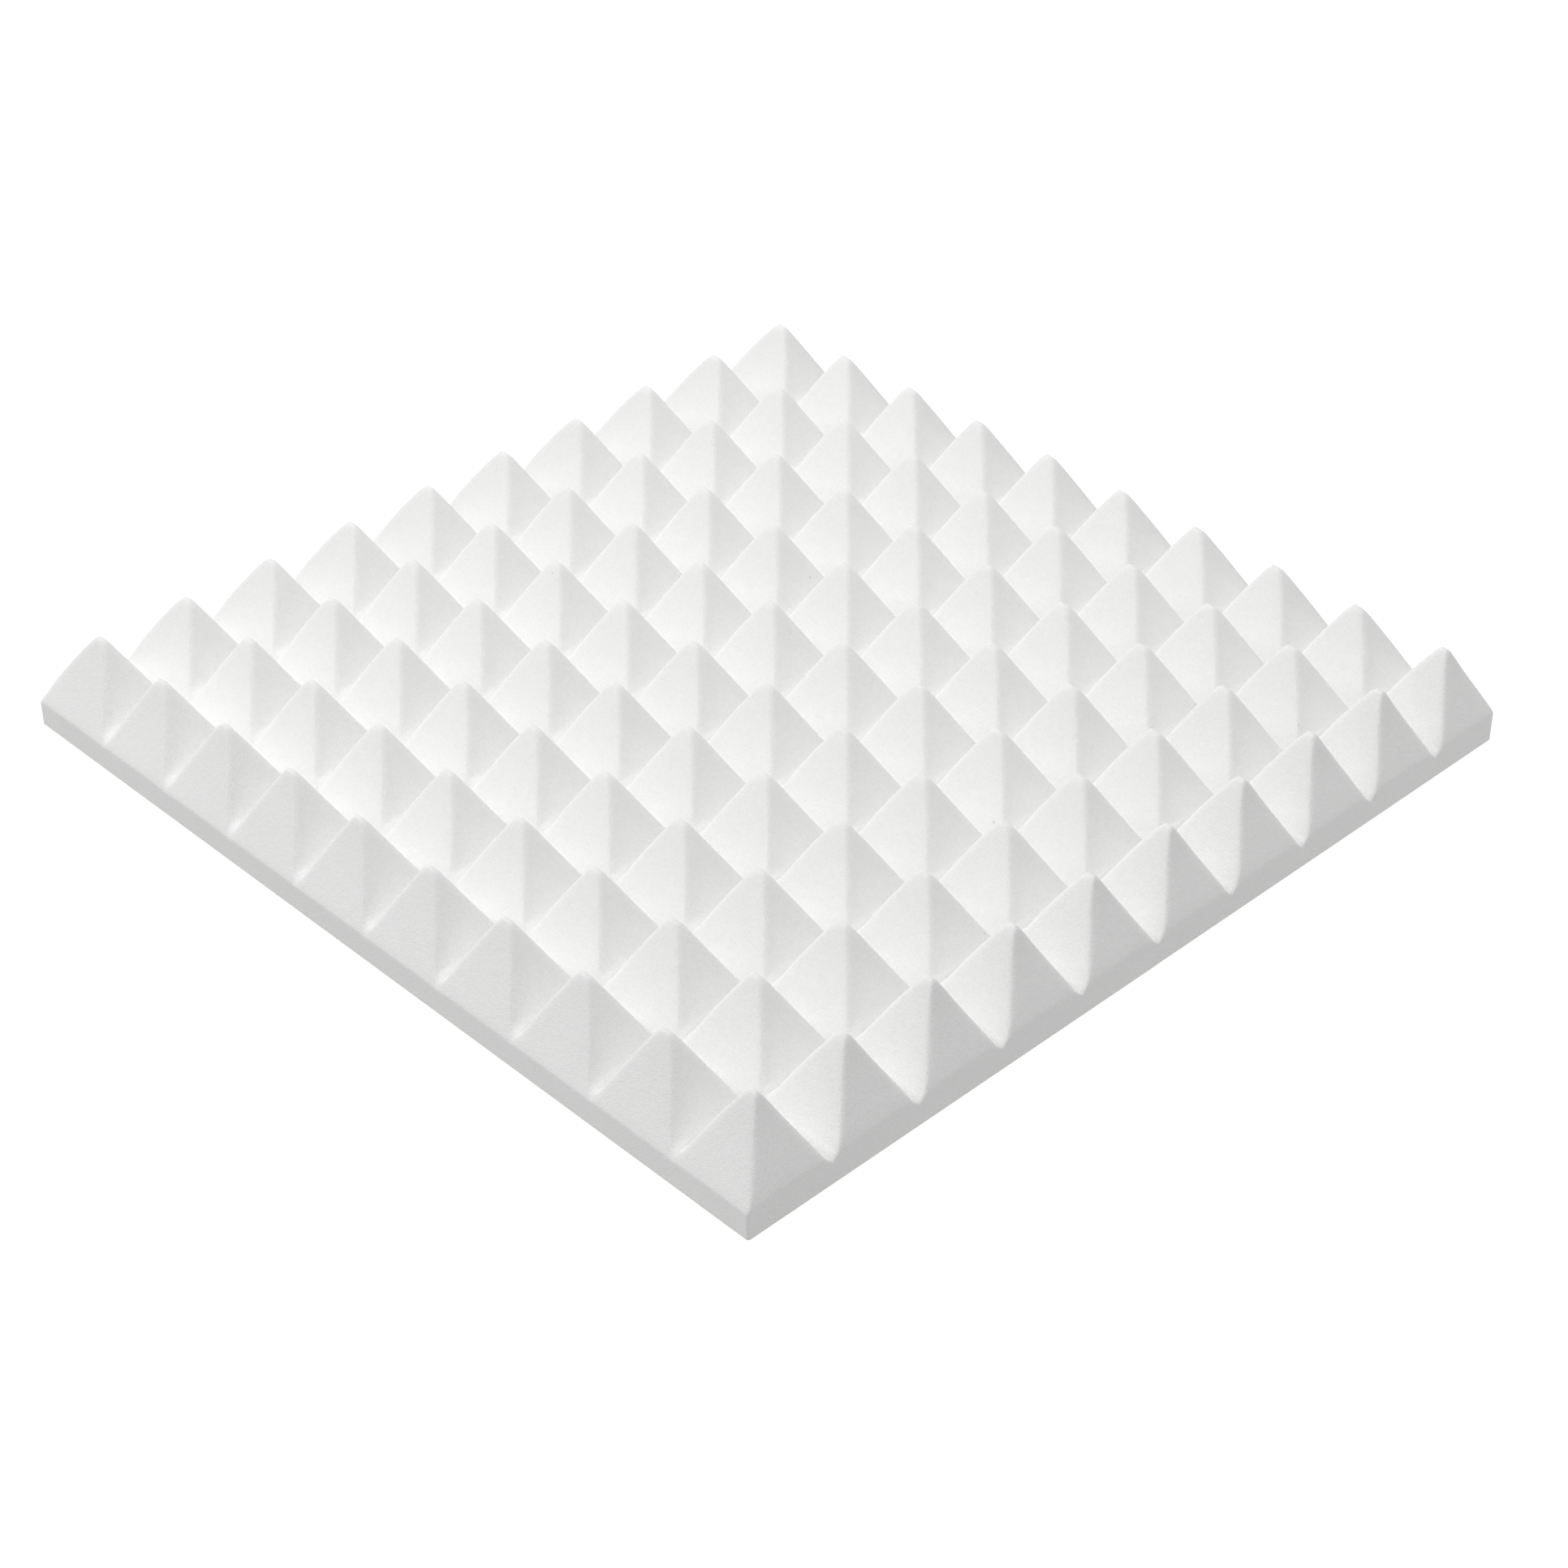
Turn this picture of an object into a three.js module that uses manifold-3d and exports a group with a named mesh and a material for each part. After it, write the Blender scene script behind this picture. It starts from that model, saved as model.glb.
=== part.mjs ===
// Acoustic foam panel: a square wall panel of white foam whose face is cut into rows of pyramids.
// An adhesive film covers its back, and a release liner in two halves covers the film.
// Millimetres. +Z points from the back to the pyramids' tips, and +X and +Y run along the sides.
// The origin is the middle of the back, and the liner's outer face is at z = 0.

import * as THREE from "three";
import { mergeVertices } from "three/addons/utils/BufferGeometryUtils.js";
import Module from "manifold-3d";

// Driving dimensions of the foam
const PYRAMIDS_PER_ROW = 10;
const PANEL_WIDTH = 493.3;
const PANEL_DEPTH = 500;
const TIP_HEIGHT = 53.2;
const VALLEY_HEIGHT = 8;
const CORNER_RADIUS = 1.5;

// The softness of the valleys that run along Y and along X
const VALLEY_ROUND_ALONG_Y = 2;
const VALLEY_ROUND_ALONG_X = 2.6;

// Each tip is a short crest along Y, and stands behind the middle of its valleys
const CREST_HALF_LENGTH = 1.4;
const CREST_OFFSET_BACK = 1;

// How much further forward than the others the front row's crests stand
const FRONT_ROW_SHIFT = 1.7;

// How far inside its outermost valley line each side is trimmed off. The back lies outside its own.
const TRIM_LEFT = 2.7;
const TRIM_RIGHT = 4.5;
const TRIM_FRONT = 5.7;
const BACK_OVERHANG = 4.6;

// How far the right flanks are hollowed, and the front and back ones belly out, at mid run
const HOLLOW_RIGHT = 0.9;
const BELLY_ALONG_Y = 1.3;

// How many times as steeply as the others the outermost flanks at the front and back fall
const OUTER_FALL_FRONT = 1.06;
const OUTER_FALL_BACK = 0.77;

// How much nearer to their crests than the others the outermost left and front flanks start
const OUTER_START_LEFT = 0.9;
const OUTER_START_FRONT = 3.2;

// The soft edge between the outer flanks and the upright sides
const EDGE_ROUND_IN = 2.3;
const EDGE_ROUND_DOWN = 1;

// Driving dimensions of the thin layers on the back
const FILM_THICKNESS = 0.2;
const LINER_THICKNESS = 0.125;
const LINER_SLIT = 0.5;

// How far a cutting body reaches past what it cuts
const CUT_OVERRUN = 5;

// The flank runs from crest (0) to valley line (1), with a faint bulge
const BULGE_SHARE = 0.032;
const FLANK_STEP_SHARES = [0, 0.25, 0.6, 0.88];
const EDGE_STEP_SHARES = [0, 0.06, 0.22, 0.5, 1];
const CORNER_SEGMENTS = 4;

const wasm = await Module();
wasm.setup();

// Height between valley (0) and crest (1) at a distance from the crest, as a share of the flank's run.
function flankShare(distanceShare) {
  const straight = 1 - distanceShare;
  return straight + 4 * BULGE_SHARE * distanceShare * straight;
}

// How far the soft edge lies below the flank, at a distance in from the side.
function edgeDrop(inset) {
  const share = Math.max(1 - inset / EDGE_ROUND_IN, 0);
  return EDGE_ROUND_DOWN * (1 - Math.sqrt(1 - share * share));
}

// The distance between two crests of a cut, with the trims back on.
function pitchOf(cut) {
  return (cut.size + cut.trimLow + cut.trimHigh) / PYRAMIDS_PER_ROW;
}

// How far a row's crest stands behind, or right of, the middle of its valleys.
function leanOf(cut, row) {
  return row === 0 ? cut.crestOffset - cut.firstRowShift : cut.crestOffset;
}

// How far down the flank a place lies: 0 at the crest's end and half a pitch at the valley line.
// The last flank meets no other one, so it isn't rounded off.
function distanceAt(cut, place) {
  const pitch = pitchOf(cut);
  const fromValley = place + cut.size / 2 + cut.trimLow;
  const row = Math.min(Math.floor(fromValley / pitch), PYRAMIDS_PER_ROW - 1);
  const lean = leanOf(cut, row);
  const offset = fromValley - row * pitch - pitch / 2 - lean;
  const low = offset < 0;
  const run = pitch / 2 + (low ? lean : -lean);
  const share = Math.abs(offset) / run;
  const hollow = 4 * (low ? cut.hollowLow : cut.hollowHigh) * share * (1 - share);
  const distance = share * pitch / 2 + hollow - cut.crestHalf;
  if (!low && row === PYRAMIDS_PER_ROW - 1) return distance * cut.outerFallHigh;
  const left = (1 - share) * pitch / 2;
  const rounded = distance - Math.hypot(left, cut.valleyRound) + left;
  return low && row === 0 ? rounded * cut.outerFallLow + cut.outerStartLow : rounded;
}

// The outline of one cut across the panel, from its low side to its high side.
function cutOutline(cut) {
  const low = -cut.size / 2;
  const high = cut.size / 2;
  const pitch = pitchOf(cut);

  const places = [];
  for (let row = 0; row < PYRAMIDS_PER_ROW; row += 1) {
    const lean = leanOf(cut, row);
    const lowRun = pitch / 2 + lean;
    const highRun = pitch / 2 - lean;
    const valley = low - cut.trimLow + row * pitch;
    const crest = valley + lowRun;
    places.push(valley);
    for (const share of FLANK_STEP_SHARES) {
      places.push(crest - cut.crestHalf - share * (lowRun - cut.crestHalf));
      places.push(crest + cut.crestHalf + share * (highRun - cut.crestHalf));
    }
  }
  for (const share of EDGE_STEP_SHARES) {
    places.push(low + share * EDGE_ROUND_IN, high - share * EDGE_ROUND_IN);
  }

  const heightAt = (place) => {
    const distanceShare = Math.min(Math.max(distanceAt(cut, place) / (pitch / 2), 0), 1);
    const rise = (TIP_HEIGHT - VALLEY_HEIGHT) * flankShare(distanceShare);
    return VALLEY_HEIGHT + rise - edgeDrop(Math.min(place - low, high - place));
  };

  const kept = places.filter((place) => place >= low && place <= high);
  const sorted = [...new Set(kept)].sort((a, b) => a - b);
  const outline = sorted.map((place) => new THREE.Vector2(place, heightAt(place)));
  return [new THREE.Vector2(low, 0), ...outline, new THREE.Vector2(high, 0)];
}

// The cut whose valleys run along Y, and the cut whose valleys run along X.
const CUT_ALONG_Y = {
  size: PANEL_WIDTH,
  trimLow: TRIM_LEFT,
  trimHigh: TRIM_RIGHT,
  valleyRound: VALLEY_ROUND_ALONG_Y,
  hollowLow: 0,
  hollowHigh: HOLLOW_RIGHT,
  outerFallLow: 1,
  outerFallHigh: 1,
  outerStartLow: OUTER_START_LEFT,
  crestHalf: 0,
  crestOffset: 0,
  firstRowShift: 0,
};
const CUT_ALONG_X = {
  size: PANEL_DEPTH,
  trimLow: TRIM_FRONT,
  trimHigh: -BACK_OVERHANG,
  valleyRound: VALLEY_ROUND_ALONG_X,
  hollowLow: -BELLY_ALONG_Y,
  hollowHigh: -BELLY_ALONG_Y,
  outerFallLow: OUTER_FALL_FRONT,
  outerFallHigh: OUTER_FALL_BACK,
  outerStartLow: OUTER_START_FRONT,
  crestHalf: CREST_HALF_LENGTH,
  crestOffset: CREST_OFFSET_BACK,
  firstRowShift: FRONT_ROW_SHIFT,
};

// A square-cornered strip of foam with the cut's outline, centred, with its length along Z.
function cutBody(outline, length) {
  const body = new THREE.ExtrudeGeometry(new THREE.Shape(outline), {
    depth: length,
    bevelEnabled: false,
  });
  return body.translate(0, 0, -length / 2);
}

// A panel-sized plate with rounded corners, standing on z = 0.
function roundedPlate(thickness) {
  const x = PANEL_WIDTH / 2 - CORNER_RADIUS;
  const y = PANEL_DEPTH / 2 - CORNER_RADIUS;
  const outline = new THREE.Shape();
  outline.absarc(x, y, CORNER_RADIUS, 0, Math.PI / 2);
  outline.absarc(-x, y, CORNER_RADIUS, Math.PI / 2, Math.PI);
  outline.absarc(-x, -y, CORNER_RADIUS, Math.PI, Math.PI * 1.5);
  outline.absarc(x, -y, CORNER_RADIUS, Math.PI * 1.5, Math.PI * 2);
  return new THREE.ExtrudeGeometry(outline, {
    depth: thickness,
    bevelEnabled: false,
    curveSegments: CORNER_SEGMENTS,
  });
}

// The half of the plate on the +X side of the liner's slit.
function halfPlate(thickness) {
  const x = PANEL_WIDTH / 2 - CORNER_RADIUS;
  const y = PANEL_DEPTH / 2 - CORNER_RADIUS;
  const outline = new THREE.Shape();
  outline.moveTo(LINER_SLIT / 2, -PANEL_DEPTH / 2);
  outline.absarc(x, -y, CORNER_RADIUS, -Math.PI / 2, 0);
  outline.absarc(x, y, CORNER_RADIUS, 0, Math.PI / 2);
  outline.lineTo(LINER_SLIT / 2, PANEL_DEPTH / 2);
  return new THREE.ExtrudeGeometry(outline, {
    depth: thickness,
    bevelEnabled: false,
    curveSegments: CORNER_SEGMENTS,
  });
}

// A closed geometry as a solid that can be cut.
function solidFrom(geometry) {
  const bare = geometry.clone();
  bare.deleteAttribute("normal");
  bare.deleteAttribute("uv");
  const merged = mergeVertices(bare);
  const mesh = new wasm.Mesh({
    numProp: 3,
    vertProperties: merged.attributes.position.array,
    triVerts: new Uint32Array(merged.index.array),
  });
  return new wasm.Manifold(mesh);
}

// A cut solid as a geometry again.
function geometryFrom(solid) {
  const mesh = solid.getMesh();
  const geometry = new THREE.BufferGeometry();
  geometry.setAttribute("position", new THREE.BufferAttribute(mesh.vertProperties, 3));
  geometry.setIndex(new THREE.BufferAttribute(mesh.triVerts, 1));
  const flat = geometry.toNonIndexed();
  flat.computeVertexNormals();
  return flat;
}

// The foam block: two crossing cuts and the panel's rounded outline.
function foamGeometry() {
  const acrossX = cutBody(cutOutline(CUT_ALONG_Y), PANEL_DEPTH + 2 * CUT_OVERRUN);
  const acrossY = cutBody(cutOutline(CUT_ALONG_X), PANEL_WIDTH + 2 * CUT_OVERRUN);
  const firstCut = acrossX.rotateX(Math.PI / 2);
  const secondCut = acrossY.rotateX(Math.PI / 2).rotateZ(Math.PI / 2);
  const plate = roundedPlate(TIP_HEIGHT + CUT_OVERRUN);
  const field = solidFrom(firstCut).intersect(solidFrom(secondCut));
  return geometryFrom(field.intersect(solidFrom(plate)));
}

// A named piece of the panel, lying at a height above the liner's outer face.
function piece(name, geometry, finish, height) {
  const mesh = new THREE.Mesh(geometry, new THREE.MeshStandardMaterial(finish));
  mesh.name = name;
  mesh.position.z = height;
  return mesh;
}

const FOAM_FINISH = { color: 0xf1f1ef, roughness: 0.95, metalness: 0 };
const FILM_FINISH = { color: 0xe6e0cc, roughness: 0.4, metalness: 0 };
const LINER_FINISH = { color: 0xf3efe4, roughness: 0.55, metalness: 0 };

const linerRight = piece("release_liner_right", halfPlate(LINER_THICKNESS), LINER_FINISH, 0);
const linerLeft = piece("release_liner_left", halfPlate(LINER_THICKNESS), LINER_FINISH, 0);
linerLeft.rotation.z = Math.PI;
const film = piece("adhesive_film", roundedPlate(FILM_THICKNESS), FILM_FINISH, LINER_THICKNESS);
const foamBottom = LINER_THICKNESS + FILM_THICKNESS;
const foam = piece("foam_panel", foamGeometry(), FOAM_FINISH, foamBottom);

const panel = new THREE.Group();
panel.name = "acoustic_foam_panel";
panel.add(foam, film, linerLeft, linerRight);

export default panel;
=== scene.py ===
"""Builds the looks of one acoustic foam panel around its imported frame.

The panel is a square block of white foam whose face is cut into rows of pyramids. An adhesive film
covers its back, and a release liner in two halves covers the film. Lengths are in metres.
"""

import logging
import math
import random
from dataclasses import dataclass
from enum import Enum
from typing import ClassVar

import bmesh
import bpy
import numpy as np
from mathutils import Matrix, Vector, noise


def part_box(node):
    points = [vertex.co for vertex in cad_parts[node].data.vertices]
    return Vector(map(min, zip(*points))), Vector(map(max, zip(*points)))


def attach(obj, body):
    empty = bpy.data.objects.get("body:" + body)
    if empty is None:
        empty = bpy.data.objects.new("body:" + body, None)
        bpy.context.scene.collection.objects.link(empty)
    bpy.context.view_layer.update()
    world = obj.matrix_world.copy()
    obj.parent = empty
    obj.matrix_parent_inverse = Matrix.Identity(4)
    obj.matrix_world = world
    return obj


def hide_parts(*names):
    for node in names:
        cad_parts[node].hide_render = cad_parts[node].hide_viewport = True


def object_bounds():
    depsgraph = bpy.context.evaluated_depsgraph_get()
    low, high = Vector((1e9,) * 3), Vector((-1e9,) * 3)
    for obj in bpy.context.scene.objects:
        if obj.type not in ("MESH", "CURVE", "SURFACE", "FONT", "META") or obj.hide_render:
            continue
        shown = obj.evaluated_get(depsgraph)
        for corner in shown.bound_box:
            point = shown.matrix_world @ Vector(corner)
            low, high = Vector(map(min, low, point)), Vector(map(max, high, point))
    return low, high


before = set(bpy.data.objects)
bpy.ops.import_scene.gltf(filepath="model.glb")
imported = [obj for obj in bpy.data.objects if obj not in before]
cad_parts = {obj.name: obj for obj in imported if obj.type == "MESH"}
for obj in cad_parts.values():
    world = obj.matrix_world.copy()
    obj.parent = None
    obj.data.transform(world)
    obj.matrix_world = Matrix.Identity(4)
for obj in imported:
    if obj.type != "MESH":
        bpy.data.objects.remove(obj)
cad_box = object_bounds()

MM = 0.001
LOG = logging.getLogger("acoustic_foam_panel")

Colour = tuple[float, float, float]
Pair = tuple[float, float]


class LinerHalf(Enum):
    """The two halves of the release liner, by their node names."""

    LEFT = "release_liner_left"
    RIGHT = "release_liner_right"


class Wiring:
    """Adds nodes to one node tree and joins their sockets.

    The Mix node has inputs and outputs of the same names for numbers, vectors and colours, so its
    colour ones are found by their numbers.
    """

    MIX_INPUTS = (6, 7)
    MIX_OUTPUT = 2

    def __init__(self, tree: bpy.types.NodeTree) -> None:
        """Starts on a tree.

        Args:
            tree: The node tree that the nodes go into.
        """
        self.tree = tree

    def add(self, kind: str, values: dict | None = None, **settings: object) -> bpy.types.Node:
        """Adds one node.

        Args:
            kind: The node's type name.
            values: Numbers, colours or other nodes' outputs for its input sockets, by socket name.
            settings: The node's own properties.

        Returns:
            The new node.
        """
        node = self.tree.nodes.new(kind)
        for name, value in settings.items():
            setattr(node, name, value)
        for name, value in (values or {}).items():
            self.feed(value, node.inputs[name])
        return node

    def feed(self, value: object, socket: bpy.types.NodeSocket) -> None:
        """Joins an output to an input socket, or sets a constant on it.

        Args:
            value: An output socket, or the constant.
            socket: The input socket.
        """
        if isinstance(value, bpy.types.NodeSocket):
            self.tree.links.new(value, socket)
        else:
            socket.default_value = value

    def math(self, operation: str, *values: object) -> bpy.types.NodeSocket:
        """Adds a Math node.

        Args:
            operation: The node's operation.
            values: Numbers or output sockets, in the order of the node's inputs.

        Returns:
            The node's output.
        """
        node = self.add("ShaderNodeMath", operation=operation)
        for value, socket in zip(values, node.inputs):
            self.feed(value, socket)
        return node.outputs[0]

    def ramp(self, value: object, limits: Pair, results: Pair = (0.0, 1.0)) -> bpy.types.NodeSocket:
        """Adds a smooth Map Range node.

        Args:
            value: The number or output socket that is mapped.
            limits: The two values between which the result changes.
            results: The results at and beyond the two limits.

        Returns:
            The node's output.
        """
        sockets = ("From Min", "From Max", "To Min", "To Max")
        node = self.add(
            "ShaderNodeMapRange",
            {"Value": value, **dict(zip(sockets, (*limits, *results)))},
            interpolation_type="SMOOTHSTEP",
        )
        return node.outputs["Result"]

    def mix(self, factor: object, *colours: object, blend: str = "MIX") -> bpy.types.NodeSocket:
        """Adds a Mix node for colours.

        Args:
            factor: How much of the second colour goes in, from 0 to 1.
            colours: The first and the second colour, each a colour or an output socket.
            blend: How the second colour goes into the first.

        Returns:
            The node's colour output.
        """
        node = self.add("ShaderNodeMix", {"Factor": factor}, data_type="RGBA", blend_type=blend)
        for colour, number in zip(colours, self.MIX_INPUTS):
            self.feed(colour, node.inputs[number])
        return node.outputs[self.MIX_OUTPUT]

    def seen(self) -> bpy.types.NodeSocket:
        """Tells the rays that see a surface from the rays that only carry light.

        Returns:
            1 for a ray of the camera, straight or by way of gloss or glass, and 0 for the others.
        """
        path = self.add("ShaderNodeLightPath")
        shown = self.math("MAXIMUM", path.outputs["Is Camera Ray"], path.outputs["Is Glossy Ray"])
        return self.math("MAXIMUM", shown, path.outputs["Is Transmission Ray"])

    def surface(self, colour: object, roughness: object, relief: object, **others: float) -> None:
        """Ends a material in one shader with a bumped surface.

        Args:
            colour: A colour or an output socket.
            roughness: A number or an output socket.
            relief: The output socket that gives the surface's height.
            others: The values of the shader's other inputs, with underscores for spaces.
        """
        bump = self.add("ShaderNodeBump", {"Height": relief, "Strength": 1.0, "Distance": 1.0})
        values = {"Base Color": colour, "Roughness": roughness, "Normal": bump.outputs["Normal"]}
        values |= {name.replace("_", " "): value for name, value in others.items()}
        shader = self.add("ShaderNodeBsdfPrincipled", values)
        self.add("ShaderNodeOutputMaterial", {"Surface": shader.outputs["BSDF"]})


def opaque(colour: Colour) -> tuple[float, float, float, float]:
    """Gives a colour its full opacity."""
    return (*colour, 1.0)


class Effects:
    """The shader node groups of the finishes, each built once.

    Attributes:
        CLOUDING: The name of the group for wide, soft differences in tone.
        CELLS: The name of the group for a cut surface of small open cells.
        PORES: The name of the group for the few larger pores.
        CLOUD_DETAIL: How many octaves of noise a cloud has.
        CLOUD_ROUGHNESS: How much each octave of it keeps of the last one.
        CLOUD_LIMITS: The noise values that give the darkest and the lightest cloud.
        WALL_LIMITS: How far from its middle, in cells, a cell's wall rises and stands full.
        WALL_SHARE: The height of the walls beside that of the clumps.
        CLUMP_SCALE: The scale of the clumps of cells beside that of the cells.
        CLUMP_DETAIL: How many octaves of noise a clump has.
        CLUMP_ROUGHNESS: How much each octave of it keeps of the last one.
        TONE_LIMITS: The heights that give the darkest and the lightest tone, so the low places in the
            cells take the painted shade.
        PORE_LIMITS: How far from its middle, in radii, a pore starts and is full.
    """

    CLOUDING = "soft_clouding"
    CELLS = "fine_cells"
    PORES = "sparse_pores"
    CLOUD_DETAIL = 3.0
    CLOUD_ROUGHNESS = 0.55
    CLOUD_LIMITS = (0.3, 0.7)
    WALL_LIMITS = (0.1, 0.6)
    WALL_SHARE = 0.6
    CLUMP_SCALE = 0.4
    CLUMP_DETAIL = 2.0
    CLUMP_ROUGHNESS = 0.6
    TONE_LIMITS = (0.5, 1.2)
    PORE_LIMITS = (1.0, 0.4)

    @staticmethod
    def _start(name: str, inputs: dict[str, float | None], outputs: list[str]) -> tuple[Wiring, dict]:
        """Starts a group with its sockets.

        Args:
            name: The group's name.
            inputs: The default of each number input, or None for a vector input.
            outputs: The number outputs.

        Returns:
            The wiring of the group's tree, and its input and output nodes.
        """
        tree = bpy.data.node_groups.new(name, "ShaderNodeTree")
        for label, default in inputs.items():
            kind = "NodeSocketVector" if default is None else "NodeSocketFloat"
            socket = tree.interface.new_socket(label, in_out="INPUT", socket_type=kind)
            if default is not None:
                socket.default_value = default
        for label in outputs:
            tree.interface.new_socket(label, in_out="OUTPUT", socket_type="NodeSocketFloat")
        wiring = Wiring(tree)
        ends = {"in": wiring.add("NodeGroupInput"), "out": wiring.add("NodeGroupOutput")}
        return wiring, ends

    @classmethod
    def clouding(cls) -> bpy.types.NodeTree:
        """Makes or finds the group for wide, soft differences in tone.

        Returns:
            A group that puts out 0 to 1 around a middle of 0.5.
        """
        if cls.CLOUDING in bpy.data.node_groups:
            return bpy.data.node_groups[cls.CLOUDING]
        wiring, ends = cls._start(cls.CLOUDING, {"Vector": None, "Size": 50 * MM}, ["Value"])
        scale = wiring.math("DIVIDE", 1.0, ends["in"].outputs["Size"])
        cloud = wiring.add(
            "ShaderNodeTexNoise",
            {
                "Vector": ends["in"].outputs["Vector"],
                "Scale": scale,
                "Detail": cls.CLOUD_DETAIL,
                "Roughness": cls.CLOUD_ROUGHNESS,
            },
        )
        wiring.feed(wiring.ramp(cloud.outputs["Fac"], cls.CLOUD_LIMITS), ends["out"].inputs["Value"])
        return wiring.tree

    @classmethod
    def cells(cls) -> bpy.types.NodeTree:
        """Makes or finds the group for a cut surface of small open cells.

        Returns:
            A group that puts out the height of the cell walls and the tone of the cells. The tone is
            darker down in the cells as painted shade and differs at random with the clumps.
        """
        if cls.CELLS in bpy.data.node_groups:
            return bpy.data.node_groups[cls.CELLS]
        inputs = {"Vector": None, "Cell Size": 0.7 * MM}
        wiring, ends = cls._start(cls.CELLS, inputs, ["Height", "Tone"])
        vector = ends["in"].outputs["Vector"]
        scale = wiring.math("DIVIDE", 1.0, ends["in"].outputs["Cell Size"])
        cell = wiring.add("ShaderNodeTexVoronoi", {"Vector": vector, "Scale": scale})
        clump = wiring.add(
            "ShaderNodeTexNoise",
            {
                "Vector": vector,
                "Scale": wiring.math("MULTIPLY", scale, cls.CLUMP_SCALE),
                "Detail": cls.CLUMP_DETAIL,
                "Roughness": cls.CLUMP_ROUGHNESS,
            },
        )
        wall = wiring.ramp(cell.outputs["Distance"], cls.WALL_LIMITS)
        wall_height = wiring.math("MULTIPLY", wall, cls.WALL_SHARE)
        height = wiring.math("ADD", wall_height, clump.outputs["Fac"])
        wiring.feed(height, ends["out"].inputs["Height"])
        wiring.feed(wiring.ramp(height, cls.TONE_LIMITS), ends["out"].inputs["Tone"])
        return wiring.tree

    @classmethod
    def pores(cls) -> bpy.types.NodeTree:
        """Makes or finds the group for the few larger pores.

        Returns:
            A group that puts out 1 inside a pore and 0 elsewhere.
        """
        if cls.PORES in bpy.data.node_groups:
            return bpy.data.node_groups[cls.PORES]
        inputs = {"Vector": None, "Spacing": 12 * MM, "Radius": 0.4 * MM}
        wiring, ends = cls._start(cls.PORES, inputs, ["Mask"])
        spacing = ends["in"].outputs["Spacing"]
        scale = wiring.math("DIVIDE", 1.0, spacing)
        point = wiring.add(
            "ShaderNodeTexVoronoi",
            {"Vector": ends["in"].outputs["Vector"], "Scale": scale},
        )
        reach = wiring.math("DIVIDE", ends["in"].outputs["Radius"], spacing)
        radii = wiring.math("DIVIDE", point.outputs["Distance"], reach)
        wiring.feed(wiring.ramp(radii, cls.PORE_LIMITS), ends["out"].inputs["Mask"])
        return wiring.tree


def new_material(name: str) -> tuple[bpy.types.Material, Wiring]:
    """Starts an empty node material.

    Args:
        name: The material's name.

    Returns:
        The material and the wiring of its tree.
    """
    material = bpy.data.materials.new(name)
    material.use_nodes = True
    material.node_tree.nodes.clear()
    return material, Wiring(material.node_tree)


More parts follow.
